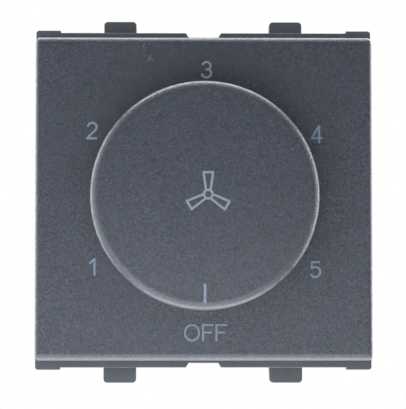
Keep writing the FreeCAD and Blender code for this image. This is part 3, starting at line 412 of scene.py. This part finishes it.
def printed(name, strokes, centre, face_y, ink, body):
    """One printed mark: its strokes made into a single film that follows the face under it."""
    points, outlines = [], []
    for outline in strokes:
        outlines.append(list(range(len(points), len(points) + len(outline))))
        points += [Vector(point) for point in outline]
    places, _, areas, _, _, covered = delaunay_2d_cdt(points, [], outlines, 0, 1e-5)
    film = bmesh.new()
    corners = []
    for x, z in places:
        across = (x + centre[0]) * MM
        up = (z + centre[1]) * MM
        corners.append(film.verts.new((across, face_y(across, up) + INK_ROOT * MM, up)))
    for area, covering in zip(areas, covered):
        if covering:
            film.faces.new([corners[index] for index in area])
    unused = [corner for corner in corners if not corner.link_faces]
    bmesh.ops.delete(film, geom=unused, context="VERTS")
    raised = bmesh.ops.extrude_face_region(film, geom=film.faces[:], use_keep_orig=True)["geom"]
    front = [part for part in raised if isinstance(part, bmesh.types.BMVert)]
    bmesh.ops.translate(film, verts=front, vec=(0, -(INK_FILM + INK_ROOT) * MM, 0))
    bmesh.ops.recalc_face_normals(film, faces=film.faces[:])
    mesh = bpy.data.meshes.new(name)
    film.to_mesh(mesh)
    film.free()
    piece = bpy.data.objects.new(name, mesh)
    bpy.context.scene.collection.objects.link(piece)
    mesh.materials.append(ink)
    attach(piece, body)
    return piece


def pad_ink(name, thin, full):
    """Pad printing ink, whose colour goes from the first to the second with the thickness of its film."""
    material, place = finish(name)
    cover = place.noise(0.12 * MM, 3.0, 0.6)
    surface(material, Base_Color=cover.between(0.2, 0.62).mixed(thin, full),
            Roughness=0.65 + 0.2 * (cover - 0.5), Normal=cover.bump(0.004 * MM, 0.4), IOR=1.4)
    return material


legend_ink = pad_ink("legend_ink", (0.128, 0.168, 0.220, 1), (0.204, 0.262, 0.330, 1))
mark_ink = pad_ink("mark_ink", (0.152, 0.190, 0.252, 1), (0.236, 0.290, 0.368, 1))
plate_front = printing_face("face_plate")
knob_front = printing_face("dial_knob")
O_MIDDLE = -1.70
F_STEMS = (-0.24, 1.525)
off_word = ring(O_MIDDLE, 0, 0.93, 1.03, THIN)
for stem in F_STEMS:
    off_word += [stroke([(stem, -1.15), (stem, 1.15)], THIN),
                 stroke([(stem - THIN / 2, 1.015), (stem + 1.41, 1.015)], THIN),
                 stroke([(stem, 0.03), (stem + 1.19, 0.03)], THIN)]
figures = {
    "1": [stroke([(0.30, -1.15), (0.30, 1.16)]), stroke([(0.32, 1.06), (-0.38, 0.44)])],
    "2": [stroke(arc(0.04, 0.46, 0.59, 0.59, 174, -28) + [(-0.56, -0.93)]),
          stroke([(-0.74, -1.01), (0.70, -1.01)])],
    "3": [stroke(arc(0, 0.535, 0.53, 0.51, 172, -58)), stroke([(-0.14, 0.055), (0.36, 0.055)]),
          stroke(arc(0, -0.45, 0.62, 0.58, 60, -172))],
    "4": [stroke([(0.30, -1.18), (0.30, 1.18)]), stroke([(0.25, 1.10), (-0.66, -0.48)]),
          stroke([(-0.76, -0.50), (0.74, -0.50)])],
    "5": [stroke([(-0.54, 1.0), (0.58, 1.0)]), stroke([(-0.42, 1.05), (-0.55, 0.12)]),
          stroke(arc(-0.03, -0.32, 0.66, 0.66, 140, -153))],
}
spots = {"1": (-14.77, -9.12), "2": (-14.86, 8.95), "3": (0.34, 17.10), "4": (15.01, 8.51),
         "5": (14.77, -9.45)}
printed("legend_off", off_word, (0.12, -17.80), plate_front, legend_ink, "casing")
for figure, strokes in figures.items():
    printed(f"legend_{figure}", strokes, spots[figure], plate_front, legend_ink, "casing")

MARK_STROKE = 0.29
HUB_RING = 0.56
BLADE_ROOT = 0.60
BLADE_TIP = 2.84
ROOT_HALF = 0.30
TIP_HALF = 0.62
NEARLY_ROUND = 330
fan_mark = ring(0, 0, HUB_RING, HUB_RING, MARK_STROKE)
for heading in (90, 210, -31):
    along = Vector((math.cos(math.radians(heading)), math.sin(math.radians(heading))))
    across = Vector((-along.y, along.x))
    tips = [along * BLADE_TIP + across * side * TIP_HALF for side in (-1, 1)]
    roots = [along * BLADE_ROOT + across * side * ROOT_HALF for side in (-1, 1)]
    fan_mark += [stroke([root, tip], MARK_STROKE) for root, tip in zip(roots, tips)]
    fan_mark.append(stroke(tips, MARK_STROKE))
    fan_mark += [arc(tip.x, tip.y, MARK_STROKE / 2, MARK_STROKE / 2, 0, NEARLY_ROUND) for tip in tips]
printed("fan_mark", fan_mark, (0.42, 0.05), knob_front, mark_ink, "knob")

POINTER_LINE = [(0, -11.5), (0, -14.0)]
POINTER_STROKE = 0.34
pointer = [stroke(POINTER_LINE, POINTER_STROKE)]
printed("pointer_line", pointer, (0, 0), knob_front, mark_ink, "knob")

# Studio: a pale floor well under the switch, soft lamps and a white surround that is darker towards the
# camera, so that the flat faces stay deep and the rounded rims catch light.

FLOOR_DROP = -0.15
FLOOR_HALF = 0.45
floor_mesh = bpy.data.meshes.new("studio_floor")
square = ((-1, -1), (1, -1), (1, 1), (-1, 1))
floor_corners = [(x * FLOOR_HALF, y * FLOOR_HALF, FLOOR_DROP) for x, y in square]
floor_mesh.from_pydata(floor_corners, [], [(0, 1, 2, 3)])
floor = bpy.data.objects.new("studio_floor", floor_mesh)
bpy.context.scene.collection.objects.link(floor)
paper, place = finish("floor_paper")


def in_view(start):
    """1 for what the camera sees straight, in gloss or through glass, and 0 for the light that it gives."""
    rays = [start.node("ShaderNodeLightPath", output=f"Is {kind} Ray")
            for kind in ("Camera", "Glossy", "Transmission")]
    return start.worked("MAXIMUM", start.worked("MAXIMUM", rays[0], rays[1]), rays[2])


seen = in_view(place)
fibre = place.noise(20 * MM, 4.0)
surface(paper, Base_Color=(fibre * 0.1).mixed((0.86, 0.86, 0.86, 1), (0.80, 0.80, 0.80, 1)), Roughness=0.9,
        Emission_Color=seen.mixed((0, 0, 0, 1), (0.34, 0.34, 0.34, 1)), Emission_Strength=1.0)
floor_mesh.materials.append(paper)


def lamp(name, place, aim, width, height, brightness):
    """A soft panel lamp whose face has the given brightness, where 1 is white."""
    data = bpy.data.lights.new(name, "AREA")
    data.shape = "RECTANGLE"
    data.size = width
    data.size_y = height
    data.energy = brightness * math.pi * width * height
    made = bpy.data.objects.new(name, data)
    made.location = place
    made.rotation_euler = (Vector(aim) - Vector(place)).to_track_quat("-Z", "Y").to_euler()
    made.visible_camera = False
    bpy.context.scene.collection.objects.link(made)
    return made


fill = lamp("fill_left_front", (-0.09, -0.28, 0.0), (0, 0, 0), 0.30, 0.30, 2.78)
fill.visible_glossy = False
lamp("top_soft", (0.0, 0.015, 0.16), (0, 0, 0), 0.18, 0.12, 1.2)
lamp("low_soft", (0.0, 0.0, -0.13), (0, 0, 0), 0.18, 0.10, 3.6)
lamp("back_soft", (0.14, 0.26, 0.16), (0, 0, 0), 0.22, 0.22, 1.8)
shines = [lamp("shine_low_front", (-0.03, -0.11, -0.095), (0, 0, -0.01), 0.26, 0.20, 1.72),
          lamp("shine_left", (-0.15, -0.05, 0.0), (0, 0, 0), 0.10, 0.16, 1.7),
          lamp("shine_right", (0.15, -0.04, 0.0), (0, 0, 0), 0.08, 0.16, 1.3)]
STRIPS = 12
SIDE_GLOW = 12.5
TOP_GLOW = 10.0
FOOT_GLOW = 4.0
for number in range(STRIPS):
    turn = math.tau * number / STRIPS
    end_glow = TOP_GLOW if math.cos(turn) > 0 else FOOT_GLOW
    glow = SIDE_GLOW + (end_glow - SIDE_GLOW) * math.cos(turn) ** 2
    strip = lamp(f"rim_strip_{number + 1}", (0, 0.06, 0.15), (0, 0, 0), 0.080, 0.030, glow)
    strip.matrix_basis = Matrix.Rotation(turn, 4, "Y") @ strip.matrix_basis
    shines.append(strip)
for shine in shines:
    shine.visible_diffuse = False

world = bpy.data.worlds.new("studio")
bpy.context.scene.world = world
world.use_nodes = True
air = Tone(world.node_tree)
heading = air.node("ShaderNodeTexCoord", output="Generated")
ahead = air.node("ShaderNodeSeparateXYZ", {}, {0: heading}, output="Y")
straight = air.node("ShaderNodeLightPath", output="Is Camera Ray")
LIT_WALLS = 0.5
CAMERA_SIDE = 0.07
DARK_BEFORE = -0.98
LIT_AFTER = -0.35
walls = LIT_WALLS + (1 - LIT_WALLS) * in_view(air)
around = CAMERA_SIDE + (walls - CAMERA_SIDE) * ahead.between(DARK_BEFORE, LIT_AFTER)
air.feed(world.node_tree.nodes["Background"],
         {"Color": (1, 1, 1, 1), "Strength": straight + (1 - straight) * around})

# Camera: straight in front of the plate and a little below its middle, as the photograph was taken.

TARGET = Vector((-0.000123, -0.0054, -0.000837))
AZIMUTH = math.radians(-1.0276)
ELEVATION = math.radians(-3.2832)
DISTANCE = 0.30
LENS = 199.34
SENSOR = 36
NEAREST = 0.01
towards = Vector((math.sin(AZIMUTH) * math.cos(ELEVATION), -math.cos(AZIMUTH) * math.cos(ELEVATION),
                  math.sin(ELEVATION)))
camera = bpy.data.objects.new("camera", bpy.data.cameras.new("camera"))
camera.data.lens = LENS
camera.data.sensor_width = SENSOR
camera.data.clip_start = NEAREST
camera.location = TARGET + DISTANCE * towards
camera.rotation_euler = (-towards).to_track_quat("-Z", "Y").to_euler()
bpy.context.scene.collection.objects.link(camera)
bpy.context.scene.camera = camera
bpy.context.scene.view_settings.view_transform = "Standard"
